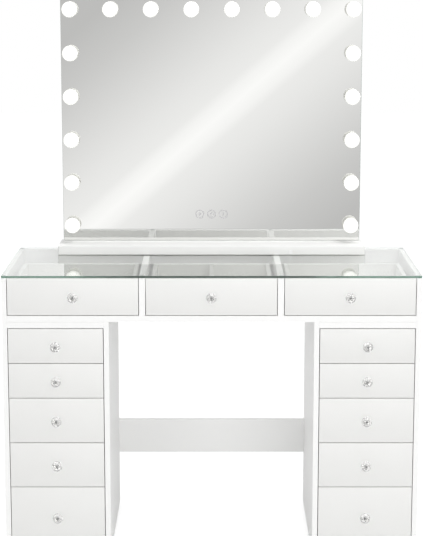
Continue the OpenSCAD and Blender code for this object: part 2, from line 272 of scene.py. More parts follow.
# melamine-faced board: an even satin white whose light breaks up on the pearl of the press
# plate; the pearl is really about 0.5 mm across and is drawn 3 mm so that it shows, and
# the tone drifts a little over 180 mm
def melamine(name, light, dark, roughness):
    mat = newMaterial(name)
    place = addNode(mat, "ShaderNodeTexCoord").outputs["Object"]
    cloud = addNode(mat, "ShaderNodeTexNoise", {"Vector": place, "Scale": 1 / (180 * mm), "Detail": 1})
    pearl = addNode(mat, "ShaderNodeTexNoise", {"Vector": place, "Scale": 1 / (3 * mm), "Detail": 2})
    tint = addNode(mat, "ShaderNodeMix", {"Factor": cloud.outputs["Fac"], "A": hexColor(light),
                                          "B": hexColor(dark)}, data_type="RGBA")
    gloss = addNode(mat, "ShaderNodeMapRange", {"Value": pearl.outputs["Fac"],
                                                "To Min": roughness - 0.05, "To Max": roughness + 0.05})
    bump = addNode(mat, "ShaderNodeBump", {"Height": pearl.outputs["Fac"], "Strength": 0.2,
                                           "Distance": 0.05 * mm})
    shader = addNode(mat, "ShaderNodeBsdfPrincipled", {
        "Base Color": tint.outputs["Result"], "Roughness": gloss.outputs["Result"], "IOR": 1.5,
        "Normal": bump.outputs["Normal"]})
    addNode(mat, "ShaderNodeOutputMaterial", {"Surface": shader.outputs["BSDF"]})
    return mat


# extruded ABS edge band, scraped flush: glossier than the board, with fine marks along it
# that are really 0.3 mm apart and are drawn 2 mm apart
def edgeBanding(name, color, roughness):
    mat = newMaterial(name)
    place = addNode(mat, "ShaderNodeTexCoord").outputs["Object"]
    stretch = addNode(mat, "ShaderNodeMapping", {"Vector": place, "Scale": (0.1, 1, 1)})
    marks = addNode(mat, "ShaderNodeTexNoise", {"Vector": stretch.outputs["Vector"],
                                                "Scale": 1 / (2 * mm), "Detail": 2})
    gloss = addNode(mat, "ShaderNodeMapRange", {"Value": marks.outputs["Fac"],
                                                "To Min": roughness - 0.06, "To Max": roughness + 0.06})
    shader = addNode(mat, "ShaderNodeBsdfPrincipled", {
        "Base Color": hexColor(color), "Roughness": gloss.outputs["Result"], "IOR": 1.5})
    addNode(mat, "ShaderNodeOutputMaterial", {"Surface": shader.outputs["BSDF"]})
    return mat


# metal or plastic with the grain that its making left: the gloss wanders by spread, and the
# grain has a size, a depth and a stretch; a grain finer than 1 mm is drawn coarser to show
def grainy(name, color, roughness, metallic=0.0, grain=1 * mm, depth=0.05 * mm, spread=0.06,
           stretch=(1, 1, 1)):
    mat = newMaterial(name)
    place = addNode(mat, "ShaderNodeTexCoord").outputs["Object"]
    along = addNode(mat, "ShaderNodeMapping", {"Vector": place, "Scale": stretch})
    noise = addNode(mat, "ShaderNodeTexNoise", {"Vector": along.outputs["Vector"],
                                                "Scale": 1 / grain, "Detail": 3})
    gloss = addNode(mat, "ShaderNodeMapRange", {"Value": noise.outputs["Fac"],
                                                "To Min": roughness - spread,
                                                "To Max": roughness + spread})
    bump = addNode(mat, "ShaderNodeBump", {"Height": noise.outputs["Fac"], "Strength": 0.3,
                                           "Distance": depth})
    shader = addNode(mat, "ShaderNodeBsdfPrincipled", {
        "Base Color": hexColor(color), "Roughness": gloss.outputs["Result"], "Metallic": metallic,
        "IOR": 1.5, "Normal": bump.outputs["Normal"]})
    addNode(mat, "ShaderNodeOutputMaterial", {"Surface": shader.outputs["BSDF"]})
    return mat


# clear glass or plastic; lamp light passes it, less what each face throws back at a slant
def clearGlass(name, color, ior, roughness=0.0, clarity=1.0):
    mat = newMaterial(name)
    shader = addNode(mat, "ShaderNodeBsdfPrincipled", {
        "Base Color": hexColor(color), "Roughness": roughness, "IOR": ior,
        "Transmission Weight": clarity})
    slant = addNode(mat, "ShaderNodeLayerWeight", {"Blend": 0.5})
    thrown = addNode(mat, "ShaderNodeMath", {0: slant.outputs["Facing"], 1: 5.0}, operation="POWER")
    passed = addNode(mat, "ShaderNodeMix", {"Factor": thrown.outputs["Value"], "A": hexColor(color),
                                            "B": (0, 0, 0, 1)}, data_type="RGBA")
    through = addNode(mat, "ShaderNodeBsdfTransparent", {"Color": passed.outputs["Result"]})
    ray = addNode(mat, "ShaderNodeLightPath")
    either = addNode(mat, "ShaderNodeMath", {0: ray.outputs["Is Shadow Ray"],
                                             1: ray.outputs["Is Diffuse Ray"]}, operation="MAXIMUM")
    mixed = addNode(mat, "ShaderNodeMixShader", {0: either.outputs["Value"],
                                                 1: shader.outputs["BSDF"], 2: through.outputs["BSDF"]})
    addNode(mat, "ShaderNodeOutputMaterial", {"Surface": mixed.outputs["Shader"]})
    return mat


# polished edge of glass: its own green, seen through the length of the plate, with painted
# shade in the middle, made darker where the mirror's foot keeps the light from coming in at the back;
# the colour goes from the middle's painted shade to the ends' green over these distances from the
# middle
edgeTintAndShade = {"middleTo": 0.30, "endsFrom": 0.52, "wander": 0.16, "streak": 60 * mm}


def glassEdge(name, ends, middle, roughness):
    mat = newMaterial(name)
    place = addNode(mat, "ShaderNodeTexCoord").outputs["Object"]
    streaks = addNode(mat, "ShaderNodeTexNoise", {"Vector": place, "Scale": 1 / edgeTintAndShade["streak"],
                                                  "Detail": 2})
    axes = addNode(mat, "ShaderNodeSeparateXYZ", {"Vector": place})
    out = addNode(mat, "ShaderNodeMath", {0: axes.outputs["X"]}, operation="ABSOLUTE")
    wander = addNode(mat, "ShaderNodeMath", {0: streaks.outputs["Fac"], 1: edgeTintAndShade["wander"],
                                             2: out.outputs["Value"]}, operation="MULTIPLY_ADD")
    share = addNode(mat, "ShaderNodeMapRange", {
        "Value": wander.outputs["Value"], "From Min": edgeTintAndShade["middleTo"],
        "From Max": edgeTintAndShade["endsFrom"]}, interpolation_type="SMOOTHSTEP")
    # painted shade: the middle's colour is darker than the ends' green
    tint = addNode(mat, "ShaderNodeMix", {"Factor": share.outputs["Result"], "A": hexColor(middle),
                                          "B": hexColor(ends)}, data_type="RGBA")
    shader = addNode(mat, "ShaderNodeBsdfPrincipled", {
        "Base Color": tint.outputs["Result"], "Roughness": roughness, "IOR": 1.52,
        "Transmission Weight": 0.35})
    addNode(mat, "ShaderNodeOutputMaterial", {"Surface": shader.outputs["BSDF"]})
    return mat


# silvered float glass: a clean mirror, with a trace of haze that changes over 90 mm
def silvered(name, color):
    mat = newMaterial(name)
    place = addNode(mat, "ShaderNodeTexCoord").outputs["Object"]
    haze = addNode(mat, "ShaderNodeTexNoise", {"Vector": place, "Scale": 1 / (90 * mm), "Detail": 2})
    gloss = addNode(mat, "ShaderNodeMapRange", {"Value": haze.outputs["Fac"],
                                                "To Min": 0.0, "To Max": 0.02})
    shader = addNode(mat, "ShaderNodeBsdfPrincipled", {
        "Base Color": hexColor(color), "Roughness": gloss.outputs["Result"], "Metallic": 1.0})
    addNode(mat, "ShaderNodeOutputMaterial", {"Surface": shader.outputs["BSDF"]})
    return mat


# opal polycarbonate, lit from inside: an even white glow over a satin skin, whose frosting
# is really 0.2 mm and is drawn 1.5 mm; the LEDs throw their light forward, so the back of
# the globe glows less
def opalLit(name, color, strength, glowFrom, glowTo):
    mat = newMaterial(name)
    place = addNode(mat, "ShaderNodeTexCoord").outputs["Object"]
    frost = addNode(mat, "ShaderNodeTexNoise", {"Vector": place, "Scale": 1 / (1.5 * mm), "Detail": 2})
    gloss = addNode(mat, "ShaderNodeMapRange", {"Value": frost.outputs["Fac"],
                                                "To Min": 0.3, "To Max": 0.42})
    axes = addNode(mat, "ShaderNodeSeparateXYZ", {"Vector": place})
    glow = addNode(mat, "ShaderNodeMapRange", {"Value": axes.outputs["Y"], "From Min": glowTo,
                                               "From Max": glowFrom, "To Min": strength, "To Max": 0.0},
                   interpolation_type="SMOOTHSTEP")
    shader = addNode(mat, "ShaderNodeBsdfPrincipled", {
        "Base Color": hexColor(color), "Roughness": gloss.outputs["Result"], "IOR": 1.58,
        "Emission Color": hexColor(color), "Emission Strength": glow.outputs["Result"]})
    addNode(mat, "ShaderNodeOutputMaterial", {"Surface": shader.outputs["BSDF"]})
    return mat


# boards: the fronts a trace greyer than the carcass, the boxes wrapped in paper foil and greyer still,
# as painted shade inside the drawers
carcassBoard = melamine("melamineBoardWhite", "#FCFCFB", "#FAFAF9", 0.42)
frontBoard = melamine("melamineFrontWhite", "#F0F0EE", "#EEEEEC", 0.38)
# painted shade: the box board is darker than the carcass to stand in for the shade inside the drawers
# under the glass
boxBoardWithShade = melamine("foilWrappedBoardWhite", "#E9E9E6", "#E6E6E3", 0.48)
carcassBand = edgeBanding("absEdgeBandWhite", "#FCFCFB", 0.34)
frontBand = edgeBanding("absEdgeBandFront", "#F1F1EF", 0.32)

# glass: clear float with ground and polished edges, and the plate of the mirror, whose back
# is sealed with a dull grey paint
topGlass = clearGlass("floatGlassClear", "#FDFEFD", 1.52)
# painted shade: the edge's middle colour is darker than its ends, for the shade it shows there
topGlassEdge = glassEdge("floatGlassPolishedEdge", "#84A897", "#4F5F56", 0.12)
# painted highlight: the arris is lighter than the edge, standing in for the glow it catches; its middle
# is painted shade like the edge's
topGlassRimHighlight = glassEdge("floatGlassArris", "#BFDDD0", "#7E9187", 0.1)
mirrorSilver = silvered("silveredGlass", "#F0F0EE")
mirrorEdge = glassEdge("mirrorGlassPolishedEdge", "#A9BBB2", "#A0B3A9", 0.1)
mirrorPaint = grainy("mirrorBackingPaintGrey", "#8E9291", 0.55)
# sandblasted mark: matt and pale; grit of 0.1 mm drawn 0.4 mm
etched = grainy("etchedTouchMark", "#C9C8CA", 0.6, grain=0.4 * mm)

# powder coat on sheet steel: satin, with an orange peel of 1 mm drawn 2.2 mm
powderWhite = grainy("powderCoatWhite", "#F3F3F2", 0.42, grain=2.2 * mm, depth=0.08 * mm)
# anodised extrusion: silky metal, with die lines of 0.1 mm along X drawn 0.8 mm apart
frameAluminium = grainy("anodisedAluminium", "#D5D6D8", 0.34, metallic=1.0, grain=0.8 * mm,
                        depth=0.01 * mm, stretch=(0.05, 1, 1))
# injection-moulded ABS: smooth and evenly glossy, with a slow waviness of 3 mm
whiteAbs = grainy("mouldedAbsWhite", "#F4F4F2", 0.24, grain=3 * mm, depth=0.01 * mm)
portAbs = grainy("mouldedAbsBrightWhite", "#FFFFFF", 0.3, grain=3 * mm, depth=0.01 * mm)
# moulded polyethylene and black ABS: duller, with spark-eroded texture of 0.3 mm drawn wider
greyPe = grainy("mouldedPolyethyleneGrey", "#C4C5C5", 0.5, grain=0.7 * mm)
blackAbs = grainy("mouldedAbsBlack", "#1A1B1C", 0.35, grain=0.9 * mm)

globeY = [corner.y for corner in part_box("bulbs")]
opalGlobe = opalLit("opalPolycarbonateLit", "#FBFBF7", 0.5, globeY[0] + 30 * mm, globeY[0] + 8 * mm)

# knobs: acrylic, clear at the polished table facet, and a little milky where it is cut
crystalCut = clearGlass("cutCrystalAcrylic", "#FFFFFF", 1.49, clarity=0.8)
crystalTable = clearGlass("polishedCrystalAcrylic", "#FFFFFF", 1.49)
# moulded silicone: milky and soft-edged, greenish under the glass
siliconeClear = clearGlass("siliconeClear", "#A3B0AA", 1.41, 0.35, clarity=0.4)

# chromed zinc casting: near mirror-bright, with a faint ripple of 4 mm
chrome = grainy("chromedZinc", "#E6E5E2", 0.08, metallic=1.0, grain=4 * mm, depth=0.005 * mm,
                spread=0.03)
# blackened steel: dark and dull
darkSteel = grainy("blackenedSteelScrew", "#111112", 0.45, metallic=1.0, grain=0.6 * mm)
# zinc plate: cool grey metal; on the runners rolling lines along Y, of 0.2 mm drawn 1.6 mm
zincSteel = grainy("zincPlatedSteelRolled", "#C9CCCE", 0.32, metallic=1.0, grain=1.6 * mm,
                   depth=0.02 * mm, stretch=(1, 0.08, 1))
zincScrew = grainy("zincPlatedScrew", "#C2C5C8", 0.3, metallic=1.0, grain=0.5 * mm, depth=0.02 * mm)
print("materials made:", len(bpy.data.materials))


# carcass boards: CAD shapes with their edges eased, and edge band on the front edges
boardLook = {"ease": 0.5 * mm, "frontReach": 0.6 * mm}


def makeBoards(node, name):
    boards = copyNode(node, name)
    front = boxOf(boards)[0].y
    boards.data.materials.append(carcassBoard)
    boards.data.materials.append(carcassBand)
    editMode(boards)
    atFront = front + boardLook["frontReach"]
    pick("FACE", lambda f: f.normal.y < -0.5 and f.calc_center_median().y < atFront)
    paintPicked(1)
    objectMode()
    softenEdges(boards, boardLook["ease"])
    seat(boards, "station", node, "white_board")


for node in ("table_uprights", "carcass_shelves", "back_panels", "pedestal_side_panels", "cross_panel"):
    makeBoards(node, node + "_boards")
print("carcass boards made")


# drawer fronts: a laminated board with an edge band all round, seen as a hairline border
frontLook = {"band": 0.9 * mm, "joint": 0.08 * mm, "jointDepth": 0.03 * mm, "ease": 0.5 * mm,
             "hole": 2.3 * mm}


def makeFront(drawer):
    low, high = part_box(drawer + "_front")
    panel = addBlock(drawer + "_front_panel", low, high)
    panel.data.materials.append(frontBoard)
    panel.data.materials.append(frontBand)
    editMode(panel)
    for side in (-1, 1):
        pick("FACE", lambda f: f.normal.y * side > 0.5)
        bpy.ops.mesh.inset(thickness=frontLook["band"])
        bpy.ops.mesh.inset(thickness=frontLook["joint"], depth=-frontLook["jointDepth"])
        bpy.ops.mesh.inset(thickness=frontLook["joint"], depth=frontLook["jointDepth"])
    area = (high.x - low.x) * (high.z - low.z)
    pick("FACE", lambda f: f.calc_area() < area / 2)
    paintPicked(1)
    objectMode()
    middle = (low + high) / 2
    cutAway(panel, addRod("knob_hole", middle, frontLook["hole"], 3 * (high.y - low.y), 24))
    softenEdges(panel, frontLook["ease"], angle=60, rimSlot=1)
    seat(panel, drawer + "_drawer", drawer + "_front", "white_board")


for drawer in drawers:
    makeFront(drawer)
print("drawer fronts made")


# runners: a folded steel channel, and the screws that hold the moving one to its box
runnerLook = {"wall": 1.3 * mm, "bend": 0.9 * mm, "headRadius": 3.2 * mm, "headHeight": 1.4 * mm,
              "headEase": 0.5 * mm, "recessWidth": 0.9 * mm, "recessDepth": 0.7 * mm,
              "recessReach": 0.6, "screwAt": (0.08, 0.5, 0.92)}


def makeChannel(name, low, high, openTo):
    channel = addBlock(name, low, high)
    editMode(channel)
    pick("FACE", lambda f: f.normal.x * openTo > 0.5 or abs(f.normal.y) > 0.5)
    bpy.ops.mesh.delete(type="FACE")
    pick("EDGE", lambda e: not e.is_boundary)
    bpy.ops.mesh.bevel(offset=runnerLook["bend"], segments=3)
    objectMode()
    applyModifier(channel, "SOLIDIFY", thickness=runnerLook["wall"], offset=-1, use_even_offset=True)
    return smoothBelow(channel, 35)


# a screw head with a cross recess
def panHead(name, centre, outward):
    bpy.ops.object.select_all(action="DESELECT")
    bpy.ops.mesh.primitive_cylinder_add(vertices=24, radius=runnerLook["headRadius"],
                                        depth=runnerLook["headHeight"], location=centre,
                                        rotation=(0, radians(90), 0))
    bpy.ops.object.transform_apply()
    head = named(bpy.context.object, name)
    editMode(head)
    pick("FACE", lambda f: f.normal.x * outward > 0.5)
    bpy.ops.mesh.bevel(offset=runnerLook["headEase"], segments=2)
    objectMode()
    tip = Vector(centre) + Vector((runnerLook["headHeight"] * outward * 0.5, 0, 0))
    depth = runnerLook["recessDepth"]
    arm, half = runnerLook["headRadius"] * runnerLook["recessReach"], runnerLook["recessWidth"] / 2
    sizes = (Vector((depth, arm, half)), Vector((depth, half, arm)))
    cutAway(head, *[addBlock("recess", tip - size, tip + size) for size in sizes])
    return smoothBelow(head, 35)


# the side that a channel is open to, where most of its corners are
def opening(solid):
    low, high = boxOf(solid)
    corners = [v.co.x for v in solid.data.vertices]
    return 1 if sum(corners) / len(corners) > (low.x + high.x) / 2 else -1


def makeCabinetRunners():
    solids = solidsOf("cabinet_runners")
    channels = [makeChannel("channel", *boxOf(solid), opening(solid)) for solid in solids]
    remove(solids)
    seat(joined("cabinet_runner_channels", channels), "station", "cabinet_runners", "runner_steel",
         zincSteel)


makeCabinetRunners()


# drawer boxes: foil-wrapped boards with eased edges, and the moving runner members
boxLook = {"ease": 0.8 * mm, "railWidth": 11 * mm}


def makeBox(drawer):
    solids = solidsOf(drawer + "_box")
    rails = [s for s in solids if boxOf(s)[1].x - boxOf(s)[0].x < boxLook["railWidth"]]
    boards = joined(drawer + "_box_boards", [s for s in solids if s not in rails])
    softenEdges(boards, boxLook["ease"])
    seat(boards, drawer + "_drawer", drawer + "_box", "box_board", boxBoardWithShade)
    members = []
    for rail in rails:
        low, high = boxOf(rail)
        side = opening(rail)
        members.append(makeChannel("member", low, high, side))
        reach = runnerLook["wall"] + runnerLook["headHeight"] / 2
        webX = (low.x if side > 0 else high.x) + side * reach
        for share in runnerLook["screwAt"]:
            place = (webX, low.y + share * (high.y - low.y), (low.z + high.z) / 2)
            members.append(panHead("head", place, side))
    remove(rails)
    seat(joined(drawer + "_runner_members", members), drawer + "_drawer", drawer + "_box",
         "runner_steel", zincSteel)


for drawer in drawers:
    makeBox(drawer)
print("drawer boxes and runners made")


# knobs: a cut crystal on a chromed rosette, on a dark screw; made once and copied
knobLook = {"facets": 16, "baseRadius": 0.42, "girdleAt": 0.5, "crownRadius": 0.88, "crownAt": 0.8,
            "tableRadius": 0.56, "play": 0.05 * mm, "boreRadius": 2.2 * mm, "boreClear": 1.05,
            "insertRadius": 4.3 * mm, "insertDepth": 12.5 * mm, "insertRim": 0.2 * mm,
            "tipDepth": 0.5 * mm, "threadStop": 3 * mm, "rosetteDish": 1.6 * mm,
            "rosetteStep": 0.5 * mm, "rosetteEase": 0.6 * mm, "screwEase": 0.2 * mm}


def facetRing(centre, radius, sides, turn):
    bpy.ops.object.select_all(action="DESELECT")
    bpy.ops.mesh.primitive_circle_add(vertices=sides, radius=radius, location=centre,
                                      rotation=(radians(90), turn, 0))
    bpy.ops.object.transform_apply()
    return bpy.context.object


# the cut crystal is the hull of four rings, from its back to its table facet
def makeCrystal(name, low, high):
    x, z = middleOf(low, high)
    radius, length, sides = (high.x - low.x) / 2, high.y - low.y, knobLook["facets"]
    rings = ((0, knobLook["baseRadius"], sides // 2, 0), (knobLook["girdleAt"], 1, sides, 0),
             (knobLook["crownAt"], knobLook["crownRadius"], sides, pi / sides),
             (1, knobLook["tableRadius"], sides // 2, 0))
    stone = joined(name, [facetRing((x, high.y - at * length, z), share * radius, count, turn)
                          for at, share, count, turn in rings])
    editMode(stone)
    bpy.ops.mesh.select_all(action="SELECT")
    bpy.ops.mesh.convex_hull()
    bpy.ops.mesh.normals_make_consistent(inside=False)
    objectMode()
    stone.data.materials.append(crystalCut)
    stone.data.materials.append(crystalTable)
    editMode(stone)
    pick("FACE", lambda f: f.normal.y < -0.98)  # the table facet alone
    paintPicked(1)
    objectMode()
    play = knobLook["play"]
    bore = addRod("bore", (x, high.y, z), knobLook["insertRadius"] + play,
                  2 * (knobLook["insertDepth"] + play), 24)
    return cutAway(stone, bore)


# the threaded metal insert in the crystal, bright outside and dark at its tip
def makeInsert(name, low, high):
    x, z = middleOf(low, high)
    depth = knobLook["insertDepth"]
    insert = addRod(name, (x, high.y - depth / 2, z), knobLook["insertRadius"], depth, 24)
    insert.data.materials.append(chrome)
    insert.data.materials.append(darkSteel)
    editMode(insert)
    pick("FACE", lambda f: f.normal.y < -0.5)
    bpy.ops.mesh.inset(thickness=knobLook["insertRim"])
    paintPicked(1)
    extrudeBack(knobLook["tipDepth"])
    paintPicked(1)
    objectMode()
    cutAway(insert, addRod("thread", (x, high.y, z), knobLook["boreRadius"],
                           2 * depth - knobLook["threadStop"], 24))
    return smoothBelow(insert, 40)


def makeRosette(name, low, high):
    x, z = middleOf(low, high)
    rosette = addRod(name, (x, (low.y + high.y) / 2, z), (high.x - low.x) / 2, high.y - low.y)
    editMode(rosette)
    pick("FACE", lambda f: f.normal.y < -0.5)
    bpy.ops.mesh.inset(thickness=knobLook["rosetteEase"] * 1.5)
    bpy.ops.mesh.inset(thickness=knobLook["rosetteDish"], depth=-knobLook["rosetteStep"])
    objectMode()
    boreRadius, boreReach = knobLook["boreRadius"] * knobLook["boreClear"], 20 * mm
    cutAway(rosette, addRod("bore", (x, low.y, z), boreRadius, boreReach, 20))
    return softenEdges(rosette, knobLook["rosetteEase"] / 2, angle=50)


def makeKnobs():
    first = drawers[0]
    solids = sorted(solidsOf(first + "_knob"), key=lambda s: boxOf(s)[1].x - boxOf(s)[0].x)
    screw, rosetteSolid, crystalSolid = solids
    crystalBox = boxOf(crystalSolid)
    masters = {"screw": (softenEdges(screw, knobLook["screwEase"]), [darkSteel], "screw_steel"),
               "insert": (makeInsert("insert", *crystalBox), [], "screw_steel"),
               "rosette": (makeRosette("rosette", *boxOf(rosetteSolid)), [chrome], "screw_steel"),
               "crystal": (makeCrystal("crystal", *crystalBox), [], "crystal")}
    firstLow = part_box(first + "_knob")[0]
    for drawer in drawers:
        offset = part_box(drawer + "_knob")[0] - firstLow
        for part, (master, mats, slotName) in masters.items():
            twin = copyTo(master, drawer + "_knob_" + part, offset)
            seat(twin, drawer + "_drawer", drawer + "_knob", slotName, *mats)
    remove([rosetteSolid, crystalSolid] + [master for master, mats, slotName in masters.values()])


makeKnobs()
print("knobs made")


# glass top: rounded corners, polished flat edge with a small arris
glassLook = {"corner": 4 * mm, "arris": 0.8 * mm, "padEase": 0.3 * mm}


def makeGlassTop():
    plate = addBlock("glass_plate", *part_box("glass_top"))
    for mat in (topGlass, topGlassEdge, topGlassRimHighlight):
        plate.data.materials.append(mat)
    editMode(plate)
    pick("EDGE", runsAlong(2))
    bpy.ops.mesh.bevel(offset=glassLook["corner"], segments=6)
    pick("FACE", lambda f: abs(f.normal.z) < 0.5)
    paintPicked(1)
    objectMode()
    softenEdges(plate, glassLook["arris"], segments=1, rimSlot=2)
    seat(plate, "station", "glass_top", "clear_glass")


makeGlassTop()
seat(softenEdges(copyNode("clear_pads", "silicone_pads"), glassLook["padEase"]), "station",
     "clear_pads", "clear_silicone", siliconeClear)
print("glass top made")


# mirror: silvered plate with polished edges on a white seat strip, frame and cover behind it
mirrorLook = {"arris": 1.0 * mm, "frameEase": 0.6 * mm, "coverEase": 0.8 * mm, "strip": 3.7 * mm,
              "seam": 0.3 * mm}


def makeMirror():
    plate = copyNode("mirror_glass", "mirror_plate")
    for mat in (mirrorSilver, mirrorEdge, mirrorPaint):
        plate.data.materials.append(mat)
    editMode(plate)
    pick("FACE", lambda f: abs(f.normal.y) < 0.5)
    paintPicked(1)
    pick("FACE", lambda f: f.normal.y > 0.5)
    paintPicked(2)
    low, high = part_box("mirror_glass")
    pick("VERT", lambda v: v.co.z < low.z + mm)
    bpy.ops.transform.translate(value=(0, 0, mirrorLook["strip"]))
    objectMode()
    stripTop = low.z + mirrorLook["strip"] - mirrorLook["seam"]
    strip = addBlock("mirror_seat_strip", low, (high.x, high.y, stripTop))
    softenEdges(strip, mirrorLook["seam"])
    seat(strip, "station", "mirror_glass", "white_plastic", whiteAbs)
    softenEdges(plate, mirrorLook["arris"], segments=1, rimSlot=1)
    seat(plate, "station", "mirror_glass", "silvered_glass")
    seat(softenEdges(copyNode("mirror_frame", "mirror_frame_rim"), mirrorLook["frameEase"]),
         "station", "mirror_frame", "frame_aluminium", frameAluminium)
    seat(softenEdges(copyNode("mirror_back_cover", "mirror_cover_sheet"), mirrorLook["coverEase"]),
         "station", "mirror_back_cover", "white_enamel", powderWhite)


makeMirror()


# touch marks: a ring each, round a dot, a chevron over a dash, and a bar; the dot, the dash
# and the chevron's arms are measured in widths of the line
touchLook = {"ring": 13.8 * mm, "line": 3.4 * mm, "proud": 0.06 * mm, "bar": 11 * mm, "dot": 1.3,
             "dash": (2.4, 1.6), "arm": 1.6, "armAside": 1.05, "armUp": 0.4, "armLean": 52}


def flatMark(name, outline, frontY):
    low, high = outline
    return addBlock(name, (low[0], frontY - touchLook["proud"], low[1]), (high[0], frontY, high[1]))


def makeTouchMarks():
    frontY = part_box("mirror_glass")[0].y
    line, proud = touchLook["line"], touchLook["proud"]
    dashFoot, dashTop = [share * line for share in touchLook["dash"]]
    arm = touchLook["arm"] * line
    marks = []
    for index, (low, high) in enumerate(placesOf("touch_sensors")):
        x, z = middleOf(low, high)
        ring = addRod("ring", (x, frontY - proud / 2, z), touchLook["ring"], proud, 64)
        cutAway(ring, addRod("inside", (x, frontY, z), touchLook["ring"] - line, 10 * proud, 64))
        marks.append(ring)
        if index == 0:
            marks.append(addRod("dot", (x, frontY - proud / 2, z), line * touchLook["dot"], proud, 32))
        if index == 1:
            marks.append(flatMark("dash", ((x - line, z - dashFoot), (x + line, z - dashTop)), frontY))
            arms = []
            for side in (-1, 1):
                arms.append(flatMark("arm", ((x - line / 2, z - arm), (x + line / 2, z + arm)), frontY))
                place = (x + side * touchLook["armAside"] * line, 0, z + touchLook["armUp"] * line)
                arms[-1].data.transform(Matrix.Translation(place)
                                        @ Matrix.Rotation(-radians(touchLook["armLean"]) * side, 4, "Y")
                                        @ Matrix.Translation((-x, 0, -z)))
            applyModifier(arms[0], "BOOLEAN", operation="UNION", object=arms[1], solver="EXACT")
            remove([arms[1]])
            marks.append(arms[0])
        if index == 2:
            bar = touchLook["bar"] / 2
            marks.append(flatMark("bar", ((x - line / 2, z - bar), (x + line / 2, z + bar)), frontY))
    seat(joined("touch_marks", marks), "station", "mirror_glass", "silvered_glass", etched)


makeTouchMarks()
print("mirror made")


# lamps: a lampholder with a flange, and an opal globe with its neck in it; made once and copied
lampLook = {"bodyRadius": 13.3 * mm, "boreRadius": 11.3 * mm, "boreDepth": 19 * mm, "flange": 1.5 * mm,
            "neckRadius": 11 * mm, "neckCut": 1.1, "collar": ((1.04, 2.2 * mm), (1.0, 1.2 * mm)),
            "ease": 0.4 * mm}


def makeHolder(name, low, high):
    x, z = middleOf(low, high)
    radius = (high.x - low.x) / 2
    holder = addRod(name, (x, low.y + lampLook["flange"] / 2, z), radius, lampLook["flange"])
    editMode(holder)
    pick("FACE", lambda f: f.normal.y > 0.5)
    bpy.ops.mesh.inset(thickness=radius - lampLook["bodyRadius"])
    extrudeBack(high.y - low.y - lampLook["flange"])
    pick("FACE", lambda f: f.normal.y < -0.5)
    bpy.ops.mesh.inset(thickness=radius - lampLook["boreRadius"])
    extrudeBack(lampLook["boreDepth"])
    faceOutwards()
    objectMode()
    return softenEdges(holder, lampLook["ease"])


# the globe is cut open at its back and drawn out into a neck, by way of a collar
def makeGlobe(name, low, high):
    x, z = middleOf(low, high)
    radius, neck = (high.x - low.x) / 2, lampLook["neckRadius"]
    centre = Vector((x, low.y + radius, z))
    bpy.ops.object.select_all(action="DESELECT")
    bpy.ops.mesh.primitive_uv_sphere_add(segments=48, ring_count=32, radius=radius, location=centre,
                                         rotation=(radians(90), 0, 0))
    bpy.ops.object.transform_apply()
    globe = named(bpy.context.object, name)

    def fromAxis(vertex):
        return (Vector((vertex.co.x, vertex.co.z)) - Vector((x, z))).length

    editMode(globe)
    pick("VERT", lambda v: v.co.y > centre.y and fromAxis(v) < neck * lampLook["neckCut"])
    bpy.ops.mesh.delete(type="VERT")
    pick("EDGE", lambda e: e.is_boundary)
    for target, reach in lampLook["collar"]:
        extrudeBack(reach)
        mesh = bmesh.from_edit_mesh(globe.data)
        picked = [v for v in mesh.verts if v.select]
        share = target * neck / fromAxis(picked[0])
        bpy.ops.transform.resize(value=(share, 1, share), center_override=centre)
    mesh = bmesh.from_edit_mesh(globe.data)
    end = max(v.co.y for v in mesh.verts)
    extrudeBack(high.y - end)
    bpy.ops.mesh.edge_face_add()
    faceOutwards()
    objectMode()
    return smoothBelow(globe, 50)


def makeLamps():
    for node, maker, slotName, mat in (("lamp_holders", makeHolder, "white_plastic", whiteAbs),
                                       ("bulbs", makeGlobe, "frosted_globe", opalGlobe)):
        places = placesOf(node)
        master = maker("master", *places[0])
        for index, (low, high) in enumerate(places):
            twin = copyTo(master, f"{node[:-1]}_{index + 1:02d}", low - places[0][0])
            seat(twin, "station", node, slotName, mat)
        remove([master])


makeLamps()
print("lamps made")


# mirror base: a folded case with rounded corners, open below, with its port and inlet
baseLook = {"corner": 4 * mm, "topRound": 2 * mm, "wall": 3 * mm, "ease": 0.3 * mm,
            "portLap": 0.9 * mm, "inletRadius": 5.8 * mm, "inletReach": 20 * mm}


def makeBase():
    low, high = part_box("mirror_base")
    case = addBlock("mirror_base_case", low, high)
    editMode(case)
    pick("EDGE", runsAlong(2))
    bpy.ops.mesh.bevel(offset=baseLook["corner"], segments=5)
    pick("EDGE", lambda e: all(v.co.z > high.z - mm for v in e.verts))
    bpy.ops.mesh.bevel(offset=baseLook["topRound"], segments=3)
    pick("FACE", lambda f: f.normal.z < -0.5)
    bpy.ops.mesh.delete(type="FACE")
    objectMode()
    applyModifier(case, "SOLIDIFY", thickness=baseLook["wall"], offset=-1, use_even_offset=True)
    portLow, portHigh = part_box("charging_port")
    lap = Vector((baseLook["portLap"], 0, baseLook["portLap"]))
    inletLow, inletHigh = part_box("power_inlet")
    inletX, inletZ = middleOf(inletLow, inletHigh)
    cutAway(case, addBlock("port_hole", portLow + lap, portHigh - lap),
            addRod("inlet_hole", (inletX, high.y, inletZ), baseLook["inletRadius"],
                   baseLook["inletReach"]))
    seat(smoothBelow(case, 32), "station", "mirror_base", "white_enamel", powderWhite)
    seat(softenEdges(copyNode("base_plate", "base_bottom_sheet"), baseLook["ease"]),
         "station", "base_plate", "white_enamel", powderWhite)
    seat(softenEdges(copyNode("power_inlet", "power_inlet_body"), baseLook["ease"]),
         "station", "power_inlet", "black_plastic", blackAbs)


# charging port: a rounded bezel on a stem, and a shallow mouth with its contact tongue
portLook = {"corner": 1.2 * mm, "flange": 1 * mm, "stemBack": 0.2 * mm, "rim": 1.9 * mm,
            "mouth": 1.1 * mm, "tongueGap": 0.7 * mm, "tongueBack": 0.5 * mm, "ease": 0.15 * mm}


